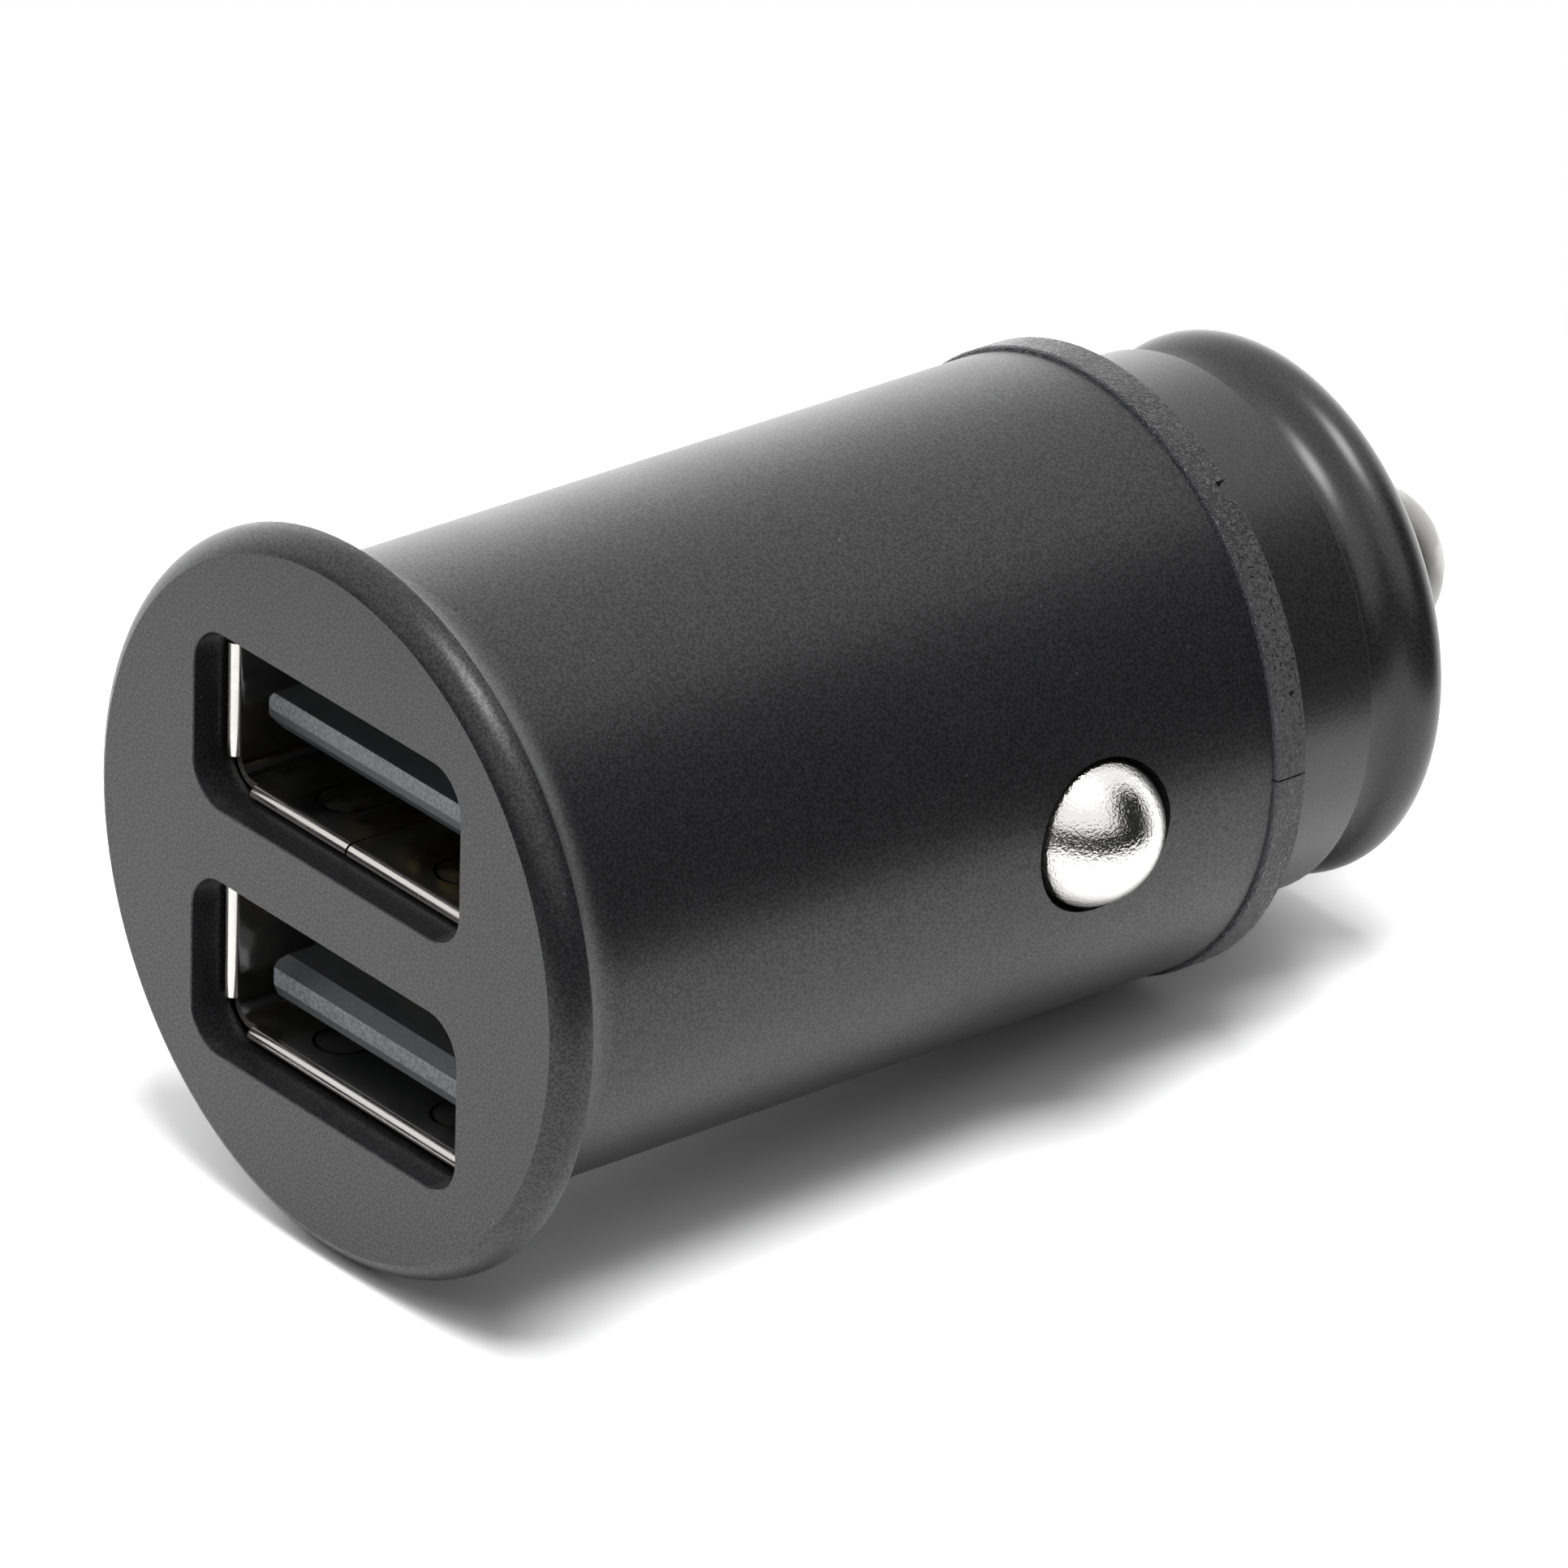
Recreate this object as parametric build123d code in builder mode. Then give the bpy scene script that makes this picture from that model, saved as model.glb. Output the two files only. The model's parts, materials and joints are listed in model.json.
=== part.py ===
"""Car USB charger plug: a flanged metal shell with two ports, a split carrier, a nose and sprung contacts.

Millimetres. The plug's axis is +Y, from the centre of its face at the origin to its nose, with +Z up
and +X to the right as seen from the front.
"""

import math
import os

from build123d import *

# Shell
flange_diameter = 24.1
barrel_diameter = 20.4
barrel_wall = 0.6
barrel_length = 29.42
face_thickness = 1.5
flange_thickness = 1.12
rim_inset = 0.72
rim_depth = 1.05
cove_length = 2.28
edge_break = 0.1
seam_break = 0.05

# Ports
slot_pitch = 8.5
port_pitch = 8.4
port_lift = 0.05
port_setback = 1.2
opening_width = 12.5
opening_height = 5.12
opening_corner = 0.6
sheet_thickness = 0.25
usb_shell_length = 10.2
lip_bend = 0.32
long_lip_relief = 0.85
short_lip_relief = 0.62
seam_width = 0.1
seam_offset = -0.5
slot_side_margin = 0.495
slot_end_margin = 0.4475
slot_corner = 1.4
slot_edge_break = 0.04
leg_width = 1.2
leg_station = 4.5
leg_gap = 0.05

# Spring fingers of the port shells
finger_width = 1.7
finger_length = 4.2
finger_slit = 0.12
finger_setback = 0.95
finger_pitch = 6.0
finger_rise = 0.04
finger_pad_margin = 0.5

# Tongues and terminals
tongue_width = 11.2
tongue_thickness = 1.3
upper_tongue_gap = 2.11
lower_tongue_gap = 0.85
tongue_recess = 0.86
lower_tongue_setback = 0.3
tongue_corner = 0.25
bevel_height = 0.45
bevel_depth = 0.36
base_length = 2.0
base_clearance = 0.1
foot_length = 1.1
foot_width = 9.6
terminal_width = 1.0
terminal_thickness = 0.2
terminal_spacing = (-3.5, -1.0, 1.0, 3.5)
terminal_start = 2.0
terminal_slot_clearance = 0.05

# Carrier and its collar
carrier_clearance = 0.1
carrier_wall = 1.2
carrier_length = 14.92
collar_diameter = 20.7
collar_width = 1.17
collar_gap = 0.04
parting_gap = 0.06
notch_width = 0.7
notch_depth = 0.45
notch_angle = 53.0
spigot_wall = 1.2
spigot_length = 2.57
bulkhead_thickness = 1.2
bulkhead_setback = 0.3
rail_height = 1.0
rail_reach = 1.0
rail_clearance = 0.05

# Nose
neck_diameter = 17.92
neck_length = 3.93
neck_wall = 1.06
neck_clearance = 0.1
groove_depth = 0.91
nose_cove_radius = 1.2
lip_diameter = 17.92
lip_round = 1.0
nose_length = 7.27
pin_guide_length = 2.9

# Centre pin
pin_diameter = 5.7
pin_reach = 44.25
pin_flange_diameter = 7.8
pin_flange_thickness = 1.0
pin_stem_diameter = 2.6
pin_stem_length = 1.0
pin_clearance = 0.08
stop_gap = 0.05
pin_wire = 0.36
pin_coil_diameter = 4.0
pin_coil_turns = 4.0
terminal_cup_diameter = 7.0
terminal_cup_thickness = 0.4
terminal_cup_clearance = 0.1
terminal_tab_width = 2.0
terminal_tab_length = 1.8

# Side contacts
contact_station = 22.65
contact_hole_diameter = 5.2
contact_head_diameter = 5.1
contact_rise = 1.47
contact_flange_diameter = 5.94
contact_flange_thickness = 0.8
contact_guide_wall = 0.95
contact_pocket_diameter = 4.2
contact_pocket_depth = 0.4
contact_clearance = 0.08
boss_wall = 0.85
boss_depth = 4.45
side_wire = 0.26
side_coil_diameter = 3.5
side_coil_turns = 3.0
wire_sides = 6
spring_seat_gap = 0.02

# Ground plates
plate_thickness = 0.3
plate_margin = 0.6
plate_tab_width = 3.0
plate_tab_length = 1.2
plate_gap = 0.04

# Board and its parts
board_thickness = 1.0
board_front = 3.0
board_side_gap = 0.4
board_corner = 0.6
board_shoulder_gap = 0.3
board_edge_gap = 0.1
leg_slot_clearance = 0.1
solder_gap = 0.02
inductor_side = 6.4
inductor_height = 3.2
inductor_corner = 1.2
inductor_core_diameter = 4.2
inductor_core_rise = 0.25
can_diameter = 6.3
can_height = 5.2
can_base = 0.7
can_base_chamfer = 1.2
small_can_diameter = 4.0
small_can_height = 4.4
small_can_base = 0.6
small_can_chamfer = 0.8
part_gap = 0.5
chip_width = 3.9
chip_length = 4.9
chip_height = 1.4
chip_lead_width = 0.42
chip_lead_pitch = 1.27
chip_leads = 4
chip_lead_reach = 1.0
chip_lead_height = 0.5
diode_width = 2.6
diode_length = 4.3
diode_height = 2.2
diode_taper = 7.0
resistor_width = 0.8
resistor_length = 1.6
resistor_height = 0.5
resistor_pitch = 1.6
resistor_row_pitch = 3.2
resistors_in_row = 3
resistor_rows = 2

# Derived sizes
barrel_radius = barrel_diameter / 2
barrel_inner = barrel_radius - barrel_wall
flange_radius = flange_diameter / 2
carrier_outer = barrel_inner - carrier_clearance
carrier_inner = carrier_outer - carrier_wall
carrier_front = barrel_length - carrier_length
collar_radius = collar_diameter / 2
collar_front = barrel_length + collar_gap
collar_rear = collar_front + collar_width
neck_radius = neck_diameter / 2
neck_inner = neck_radius - neck_wall
neck_rear = collar_rear + neck_length
nose_end = collar_rear + nose_length
spigot_outer = neck_inner - neck_clearance
spigot_inner = spigot_outer - spigot_wall
spigot_end = collar_rear + spigot_length
bulkhead_rear = barrel_length - bulkhead_setback
bulkhead_front = bulkhead_rear - bulkhead_thickness
pin_stop = nose_end - pin_guide_length
pin_radius = pin_diameter / 2
cup_rear = bulkhead_rear - terminal_cup_clearance
cup_front = cup_rear - terminal_cup_thickness
port_middle = port_lift
upper_port_z = port_middle + port_pitch / 2
near_wall = upper_port_z - opening_height / 2
far_wall = upper_port_z + opening_height / 2
side_wall = opening_width / 2
port_front = port_setback
port_rear = port_front + usb_shell_length
upper_tongue_front = port_front + tongue_recess
lower_tongue_front = upper_tongue_front + lower_tongue_setback
base_front = port_rear - base_length / 2
foot_rear = port_rear + foot_length
board_top = port_middle + board_thickness / 2
board_bottom = port_middle - board_thickness / 2
board_wide = carrier_inner - board_side_gap
boss_floor = carrier_outer - boss_depth
plate_face = boss_floor - plate_gap
plate_back = plate_face - plate_thickness
board_narrow = plate_back - plate_gap
contact_bore = contact_flange_diameter / 2 + contact_clearance
boss_radius = contact_bore + boss_wall
contact_guide = carrier_outer - contact_guide_wall
contact_flange_front = contact_guide - stop_gap
contact_flange_back = contact_flange_front - contact_flange_thickness
contact_pocket_floor = contact_flange_back + contact_pocket_depth
board_shoulder = contact_station - boss_radius - board_shoulder_gap
board_rear = bulkhead_front - board_edge_gap

os.makedirs("parts", exist_ok=True)


def station(y):
    """Plane across the plug's axis at distance y behind the face, with local x along X and y along Z."""
    return Plane.XZ.offset(-y)


# Front shell: one turned cup with its flange, port slots and contact holes
rim_radius = (rim_depth**2 + rim_inset**2) / (2 * rim_inset)
rim_centre = (flange_radius - rim_radius, rim_depth)
rim_sweep = math.degrees(math.atan2(rim_depth, rim_radius - rim_inset))
flange_step = flange_radius - barrel_radius
cove_radius = (cove_length**2 + flange_step**2) / (2 * flange_step)
cove_centre = (barrel_radius + cove_radius, flange_thickness + cove_length)
cove_sweep = math.degrees(math.atan2(cove_length, cove_radius - flange_step))
with BuildPart() as front_shell:
    with BuildSketch(Plane.XY):
        with BuildLine():
            Line((0, 0), (flange_radius - rim_inset, 0))
            CenterArc(rim_centre, rim_radius, -rim_sweep, rim_sweep)
            Line((flange_radius, rim_depth), (flange_radius, flange_thickness))
            CenterArc(cove_centre, cove_radius, 180 + cove_sweep, -cove_sweep)
            Polyline(
                (barrel_radius, cove_centre[1]),
                (barrel_radius, barrel_length - seam_break),
                (barrel_radius - seam_break, barrel_length),
                (barrel_inner, barrel_length),
                (barrel_inner, face_thickness),
                (0, face_thickness),
                (0, 0),
            )
        make_face()
    revolve(axis=Axis.Y)
    with BuildSketch(Plane.XZ):
        with GridLocations(0, slot_pitch, 1, 2):
            RectangleRounded(
                opening_width + 2 * slot_side_margin,
                opening_height + 2 * slot_end_margin,
                slot_corner,
            )
    extrude(amount=-port_rear, mode=Mode.SUBTRACT)
    slot_edges = front_shell.faces().sort_by(Axis.Y)[0].inner_wires().edges()
    chamfer(slot_edges, slot_edge_break)
    with BuildSketch(Plane.YZ):
        with Locations((contact_station, 0)):
            Circle(contact_hole_diameter / 2)
    extrude(amount=barrel_radius, both=True, mode=Mode.SUBTRACT)
front_shell.part.label = "front_shell"
export_step(front_shell.part, "parts/front_shell.step")


# Carrier: a moulding split along the plug's middle, which guides the contacts and holds the board
def carrier_half(label, parting, keep):
    """One half of the carrier, cut from the whole form at its parting plane."""
    with BuildPart() as half:
        with BuildSketch(Plane.XY):
            with BuildLine():
                Polyline(
                    (carrier_inner, carrier_front),
                    (carrier_outer, carrier_front),
                    (carrier_outer, collar_front),
                    (collar_radius - seam_break, collar_front),
                    (collar_radius, collar_front + seam_break),
                    (collar_radius, collar_rear - seam_break),
                    (collar_radius - seam_break, collar_rear),
                    (spigot_outer, collar_rear),
                    (spigot_outer, spigot_end),
                    (spigot_inner, spigot_end),
                    (spigot_inner, bulkhead_rear),
                    (0, bulkhead_rear),
                    (0, bulkhead_front),
                    (carrier_inner, bulkhead_front),
                    close=True,
                )
            make_face()
        revolve(axis=Axis.Y)
        # Bosses around the side contacts, with a bore for the flange and a guide for the head
        boss_end = math.sqrt(carrier_outer**2 - boss_radius**2)
        for side in (1, -1):
            with BuildSketch(Plane.YZ.offset(side * boss_floor)):
                with Locations((contact_station, 0)):
                    Circle(boss_radius)
            extrude(amount=side * (boss_end - boss_floor))
        for side in (1, -1):
            with BuildSketch(Plane.YZ.offset(side * boss_floor)):
                with Locations((contact_station, 0)):
                    Circle(contact_bore)
            extrude(amount=side * (contact_guide - boss_floor), mode=Mode.SUBTRACT)
            with BuildSketch(Plane.YZ.offset(side * boss_floor)):
                with Locations((contact_station, 0)):
                    Circle(contact_head_diameter / 2 + contact_clearance)
            extrude(amount=side * boss_depth, mode=Mode.SUBTRACT)
        # Rails above and below the board's edges
        rail_length = board_shoulder - carrier_front
        rail_outer = carrier_inner + carrier_wall / 2
        rail_inner = board_wide - rail_reach
        for rail_z in (
            board_top + rail_clearance + rail_height / 2,
            board_bottom - rail_clearance - rail_height / 2,
        ):
            for side in (1, -1):
                with Locations(
                    (side * (rail_inner + rail_outer) / 2, carrier_front + rail_length / 2, rail_z)
                ):
                    Box(rail_outer - rail_inner, rail_length, rail_height)
        # Seat of the terminal cup and the slot for its tab
        with BuildSketch(station(bulkhead_rear)):
            Circle(terminal_cup_diameter / 2 + terminal_cup_clearance)
        extrude(amount=bulkhead_rear - cup_front, mode=Mode.SUBTRACT)
        with Locations(
            (0, bulkhead_front + bulkhead_thickness / 2, board_top + terminal_cup_thickness / 2)
        ):
            Box(
                terminal_tab_width + 2 * terminal_cup_clearance,
                bulkhead_thickness,
                terminal_cup_thickness + 2 * terminal_cup_clearance,
                mode=Mode.SUBTRACT,
            )
        # Notches in the collar's rear edge
        notch_span = collar_radius - neck_radius
        for angle in (notch_angle, 180 - notch_angle, 180 + notch_angle, -notch_angle):
            with BuildSketch(station(collar_rear)):
                with PolarLocations(neck_radius + notch_span / 2, 1, start_angle=angle):
                    Rectangle(notch_span, notch_width)
            extrude(amount=notch_depth, mode=Mode.SUBTRACT)
        split(bisect_by=parting, keep=keep)
    half.part.label = label
    export_step(half.part, f"parts/{label}.step")


carrier_half("carrier_upper", Plane.XY.offset(parting_gap / 2), Keep.TOP)
carrier_half("carrier_lower", Plane.XY.offset(-parting_gap / 2), Keep.BOTTOM)

# Nose: straight neck, groove, and a cove that flares into the rounded lip
lip_centre = (lip_diameter / 2 - lip_round, nose_end - lip_round)
groove_radius = neck_radius - groove_depth
nose_across = groove_radius + nose_cove_radius - lip_centre[0]
nose_along = math.sqrt((lip_round + nose_cove_radius) ** 2 - nose_across**2)
nose_cove_centre = (groove_radius + nose_cove_radius, lip_centre[1] - nose_along)
nose_sweep = math.degrees(math.atan2(nose_along, nose_across))
with BuildPart() as nose_cap:
    with BuildSketch(Plane.XY):
        with BuildLine():
            Polyline(
                (neck_inner, collar_rear),
                (neck_radius, collar_rear),
                (neck_radius, neck_rear - edge_break),
                (neck_radius - edge_break, neck_rear),
                (groove_radius, neck_rear),
                (groove_radius, nose_cove_centre[1]),
            )
            CenterArc(nose_cove_centre, nose_cove_radius, 180, -nose_sweep)
            CenterArc(lip_centre, lip_round, -nose_sweep, 90 + nose_sweep)
            Polyline(
                (lip_centre[0], nose_end),
                (pin_radius + pin_clearance, nose_end),
                (pin_radius + pin_clearance, pin_stop),
                (pin_flange_diameter / 2 + pin_clearance, pin_stop),
                (pin_flange_diameter / 2 + pin_clearance, spigot_end),
                (neck_inner, spigot_end),
                (neck_inner, collar_rear),
            )
        make_face()
    revolve(axis=Axis.Y)
nose_cap.part.label = "nose_cap"
export_step(nose_cap.part, "parts/nose_cap.step")

# Centre pin: domed bullet with a flange behind the nose and a stem inside its spring
pin_flange_front = pin_stop - stop_gap
pin_flange_back = pin_flange_front - pin_flange_thickness
with BuildPart() as centre_pin:
    with BuildSketch(Plane.XY):
        with BuildLine():
            Polyline(
                (0, pin_flange_back - pin_stem_length),
                (pin_stem_diameter / 2, pin_flange_back - pin_stem_length),
                (pin_stem_diameter / 2, pin_flange_back),
                (pin_flange_diameter / 2, pin_flange_back),
                (pin_flange_diameter / 2, pin_flange_front),
                (pin_radius, pin_flange_front),
                (pin_radius, pin_reach - pin_radius),
            )
            CenterArc((0, pin_reach - pin_radius), pin_radius, 0, 90)
            Line((0, pin_reach), (0, pin_flange_back - pin_stem_length))
        make_face()
    revolve(axis=Axis.Y)
centre_pin.part.label = "centre_pin"
export_step(centre_pin.part, "parts/centre_pin.step")


# Coil springs: a round wire swept along a helix between two seats
def coil_spring(label, start, direction, length, coil_diameter, wire, turns):
    """Spring whose wire just clears a seat at start and another one length further along direction."""
    rise = length - wire - 2 * spring_seat_gap
    foot = Vector(start) + Vector(direction) * (wire / 2 + spring_seat_gap)
    with BuildPart() as spring:
        with BuildLine() as coil:
            Helix(rise / turns, rise, coil_diameter / 2, center=foot, direction=direction)
        with BuildSketch(Plane(origin=coil.line @ 0, z_dir=coil.line % 0)):
            RegularPolygon(wire / 2, wire_sides)
        sweep(is_frenet=True)
    spring.part.label = label
    export_step(spring.part, f"parts/{label}.step")


coil_spring(
    "centre_spring",
    (0, cup_rear, 0),
    (0, 1, 0),
    pin_flange_back - cup_rear,
    pin_coil_diameter,
    pin_wire,
    pin_coil_turns,
)
for side, name in ((1, "right"), (-1, "left")):
    coil_spring(
        f"side_spring_{name}",
        (side * plate_face, contact_station, 0),
        (side, 0, 0),
        contact_pocket_floor - plate_face,
        side_coil_diameter,
        side_wire,
        side_coil_turns,
    )

# Terminal cup behind the centre spring, with a tab that lies on the board
with BuildPart() as pin_terminal:
    with BuildSketch(station(cup_rear)):
        Circle(terminal_cup_diameter / 2)
    extrude(amount=terminal_cup_thickness)
    tab_end = board_rear - terminal_tab_length
    with Locations((0, (tab_end + cup_rear) / 2, board_top + terminal_cup_thickness / 2)):
        Box(terminal_tab_width, cup_rear - tab_end, terminal_cup_thickness)
pin_terminal.part.label = "pin_terminal"
export_step(pin_terminal.part, "parts/pin_terminal.step")


# Side contacts: a round head through the carrier's guide, held by a flange behind it
def side_contact(label, side):
    """Contact on the side of +X (1) or -X (-1)."""
    head_radius = contact_head_diameter / 2
    pocket_radius = contact_pocket_diameter / 2
    flange_edge = contact_flange_diameter / 2
    contact_tip = barrel_radius + contact_rise
    ball_centre = contact_tip - head_radius
    with BuildPart() as contact:
        with BuildSketch(
            Plane(origin=(0, contact_station, 0), x_dir=(side, 0, 0), z_dir=(0, 0, side))
        ):
            with BuildLine():
                Polyline(
                    (contact_pocket_floor, 0),
                    (contact_pocket_floor, pocket_radius),
                    (contact_flange_back, pocket_radius),
                    (contact_flange_back, flange_edge),
                    (contact_flange_front, flange_edge),
                    (contact_flange_front, head_radius),
                    (ball_centre, head_radius),
                )
                CenterArc((ball_centre, 0), head_radius, 90, -90)
                Line((contact_tip, 0), (contact_pocket_floor, 0))
            make_face()
        revolve(axis=Axis((0, contact_station, 0), (1, 0, 0)))
    contact.part.label = label
    export_step(contact.part, f"parts/{label}.step")


# Ground plates: the springs' seats, with a tab that lies on the board
def ground_plate(label, side):
    """Plate on the side of +X (1) or -X (-1)."""
    plate_side = 2 * (contact_bore + plate_margin)
    with BuildPart() as plate:
        with Locations((side * (plate_back + plate_face) / 2, contact_station, 0)):
            Box(plate_thickness, plate_side, plate_side)
        with Locations(
            (
                side * (plate_back - plate_tab_length / 2),
                contact_station,
                board_top + plate_thickness / 2,
            )
        ):
            Box(plate_tab_length, plate_tab_width, plate_thickness)
    plate.part.label = label
    export_step(plate.part, f"parts/{label}.step")


for side, name in ((1, "right"), (-1, "left")):
    side_contact(f"side_contact_{name}", side)
    ground_plate(f"ground_plate_{name}", side)

# Port shell: folded sheet with a seam, lips bent outward, spring fingers and solder legs
with BuildPart() as port_shell:
    tube_front = port_front + lip_bend
    inner_bend = lip_bend - sheet_thickness
    with BuildSketch(station(tube_front)):
        with Locations((0, upper_port_z)):
            RectangleRounded(
                opening_width + 2 * sheet_thickness,
                opening_height + 2 * sheet_thickness,
                opening_corner + sheet_thickness,
            )
            RectangleRounded(opening_width, opening_height, opening_corner, mode=Mode.SUBTRACT)
    extrude(amount=-(port_rear - tube_front))
    # Lips along the long walls
    for wall, outward in ((far_wall, 1), (near_wall, -1)):
        bend_z = wall + outward * lip_bend
        with BuildSketch(Plane.YZ):
            with BuildLine():
                CenterArc((tube_front, bend_z), lip_bend, -90 * outward, -90 * outward)
                Line((port_front, bend_z), (port_front + sheet_thickness, bend_z))
                CenterArc((tube_front, bend_z), inner_bend, 180, 90 * outward)
                Line((tube_front, wall + outward * sheet_thickness), (tube_front, wall))
            make_face()
        extrude(amount=side_wall - long_lip_relief, both=True)
    # Lips along the short walls
    for outward in (1, -1):
        bend_x = outward * (side_wall + lip_bend)
        with BuildSketch(Plane.XY.offset(upper_port_z)):
            with BuildLine():
                CenterArc((bend_x, tube_front), lip_bend, 90 + 90 * outward, 90 * outward)
                Line((bend_x, port_front), (bend_x, port_front + sheet_thickness))
                CenterArc((bend_x, tube_front), inner_bend, -90, -90 * outward)
                Line(
                    (outward * (side_wall + sheet_thickness), tube_front),
                    (outward * side_wall, tube_front),
                )
            make_face()
        extrude(amount=opening_height / 2 - short_lip_relief, both=True)
    # Legs into the board
    leg_top = near_wall + opening_corner + leg_width
    leg_bottom = port_middle + leg_gap
    for side in (1, -1):
        with Locations(
            (
                side * (side_wall + sheet_thickness / 2),
                port_front + leg_station,
                (leg_top + leg_bottom) / 2,
            )
        ):
            Box(sheet_thickness, leg_width, leg_top - leg_bottom)
    # Slits that free two round-tipped spring fingers in each long wall
    finger_end = port_front + finger_setback + finger_length
    tip_station = port_front + finger_setback + finger_slit + finger_width / 2
    shank = finger_end - tip_station
    for x in (-finger_pitch / 2, finger_pitch / 2):
        with BuildSketch(Plane.XY.offset(near_wall - sheet_thickness)):
            with Locations((x, tip_station + shank / 2)):
                Rectangle(finger_width + 2 * finger_slit, shank)
            with Locations((x, tip_station)):
                Circle(finger_width / 2 + finger_slit)
            with Locations((x, tip_station + shank / 2)):
                Rectangle(finger_width, shank, mode=Mode.SUBTRACT)
            with Locations((x, tip_station)):
                Circle(finger_width / 2, mode=Mode.SUBTRACT)
        extrude(amount=opening_height + 2 * sheet_thickness, mode=Mode.SUBTRACT)
        # Raised pad on each finger's tip, which presses on what is plugged in
        for wall, inward in ((near_wall, 1), (far_wall, -1)):
            with Locations(Plane(origin=(x, tip_station, wall), z_dir=(0, 0, inward))):
                Cone(
                    finger_width / 2,
                    finger_width / 2 - finger_pad_margin,
                    finger_rise,
                    align=(Align.CENTER, Align.CENTER, Align.MIN),
                )
    # Seam in the wall that faces the board
    with Locations((seam_offset, (port_front + port_rear) / 2, near_wall - lip_bend / 2)):
        Box(seam_width, usb_shell_length, lip_bend, mode=Mode.SUBTRACT)


# Tongue with its base block and a foot on the board
def port_tongue(outer_gap, tongue_front):
    """Tongue of the upper port, at outer_gap from the wall that is away from the board."""
    tongue_top = far_wall - outer_gap
    tongue_bottom = tongue_top - tongue_thickness
    with BuildPart() as tongue:
        with BuildSketch(station(tongue_front)) as section:
            with Locations((0, (tongue_top + tongue_bottom) / 2)):
                Rectangle(tongue_width, tongue_thickness)
            chamfer(section.vertices(), tongue_corner)
        extrude(amount=-(base_front - tongue_front))
        with BuildSketch(Plane.YZ):
            with BuildLine():
                Polyline(
                    (tongue_front, tongue_bottom + bevel_height),
                    (tongue_front, tongue_bottom),
                    (tongue_front + bevel_depth, tongue_bottom),
                    close=True,
                )
            make_face()
        extrude(amount=tongue_width, both=True, mode=Mode.SUBTRACT)
        with BuildSketch(station(base_front)):
            with Locations((0, upper_port_z)):
                RectangleRounded(
                    opening_width - 2 * base_clearance,
                    opening_height - 2 * base_clearance,
                    opening_corner - base_clearance,
                )
        extrude(amount=-base_length)
        foot_top = near_wall + base_clearance + sheet_thickness
        foot_bottom = board_top + solder_gap
        foot_front = port_rear + base_clearance
        with Locations((0, (foot_front + foot_rear) / 2, (foot_top + foot_bottom) / 2)):
            Box(foot_width, foot_rear - foot_front, foot_top - foot_bottom)
        # Slots for the terminals
        slot_height = terminal_thickness + terminal_slot_clearance
        for x in terminal_spacing:
            with Locations((x, (base_front + foot_rear) / 2, tongue_bottom - slot_height / 2)):
                Box(
                    terminal_width + 2 * terminal_slot_clearance,
                    foot_rear - base_front,
                    slot_height,
                    mode=Mode.SUBTRACT,
                )
    return tongue.part


# Terminals: strips under the tongue that turn down to the board behind its foot
def port_terminals(outer_gap, tongue_front):
    """Terminals of the upper port, under a tongue at outer_gap from the far wall."""
    tongue_bottom = far_wall - outer_gap - tongue_thickness
    with BuildPart() as terminals:
        terminal_front = tongue_front + terminal_start
        terminal_rear = foot_rear + terminal_slot_clearance
        terminal_low = tongue_bottom - terminal_thickness
        for x in terminal_spacing:
            with BuildSketch(Plane.YZ.offset(x)):
                with BuildLine():
                    Polyline(
                        (terminal_front, tongue_bottom),
                        (terminal_rear + terminal_thickness, tongue_bottom),
                        (terminal_rear + terminal_thickness, board_top + solder_gap),
                        (terminal_rear, board_top + solder_gap),
                        (terminal_rear, terminal_low),
                        (terminal_front, terminal_low),
                        close=True,
                    )
                make_face()
            extrude(amount=terminal_width / 2, both=True)
    return terminals.part


# Lower port: turned over about the board's middle
def turned_over(upper):
    """The lower port's copy of one of the upper port's pieces."""
    with BuildPart() as lower:
        add(mirror(upper, about=Plane.XY.offset(port_middle), mode=Mode.PRIVATE))
    return lower.part


for piece, label in (
    (port_shell.part, "usb_shell_upper"),
    (port_tongue(upper_tongue_gap, upper_tongue_front), "usb_tongue_upper"),
    (port_terminals(upper_tongue_gap, upper_tongue_front), "usb_contacts_upper"),
    (turned_over(port_shell.part), "usb_shell_lower"),
    (turned_over(port_tongue(lower_tongue_gap, lower_tongue_front)), "usb_tongue_lower"),
    (turned_over(port_terminals(lower_tongue_gap, lower_tongue_front)), "usb_contacts_lower"),
):
    piece.label = label
    export_step(piece, f"parts/{label}.step")

# Circuit board: wide between the ports and in the rails, narrow between the side contacts
with BuildPart() as circuit_board:
    with BuildSketch(Plane.XY.offset(board_bottom)) as outline:
        with BuildLine():
            Polyline(
                (-board_wide, board_front),
                (board_wide, board_front),
                (board_wide, board_shoulder),
                (board_narrow, board_shoulder),
                (board_narrow, board_rear),
                (-board_narrow, board_rear),
                (-board_narrow, board_shoulder),
                (-board_wide, board_shoulder),
                close=True,
            )
        make_face()
        chamfer(outline.vertices(), board_corner)
        leg_slot_length = leg_width + 2 * leg_slot_clearance
        leg_slot_station = port_front + leg_station
        for side in (1, -1):
            with Locations((side * (side_wall + sheet_thickness / 2), leg_slot_station)):
                Rectangle(
                    sheet_thickness + 2 * leg_slot_clearance, leg_slot_length, mode=Mode.SUBTRACT
                )
    extrude(amount=board_thickness)
circuit_board.part.label = "circuit_board"
export_step(circuit_board.part, "parts/circuit_board.step")

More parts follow.
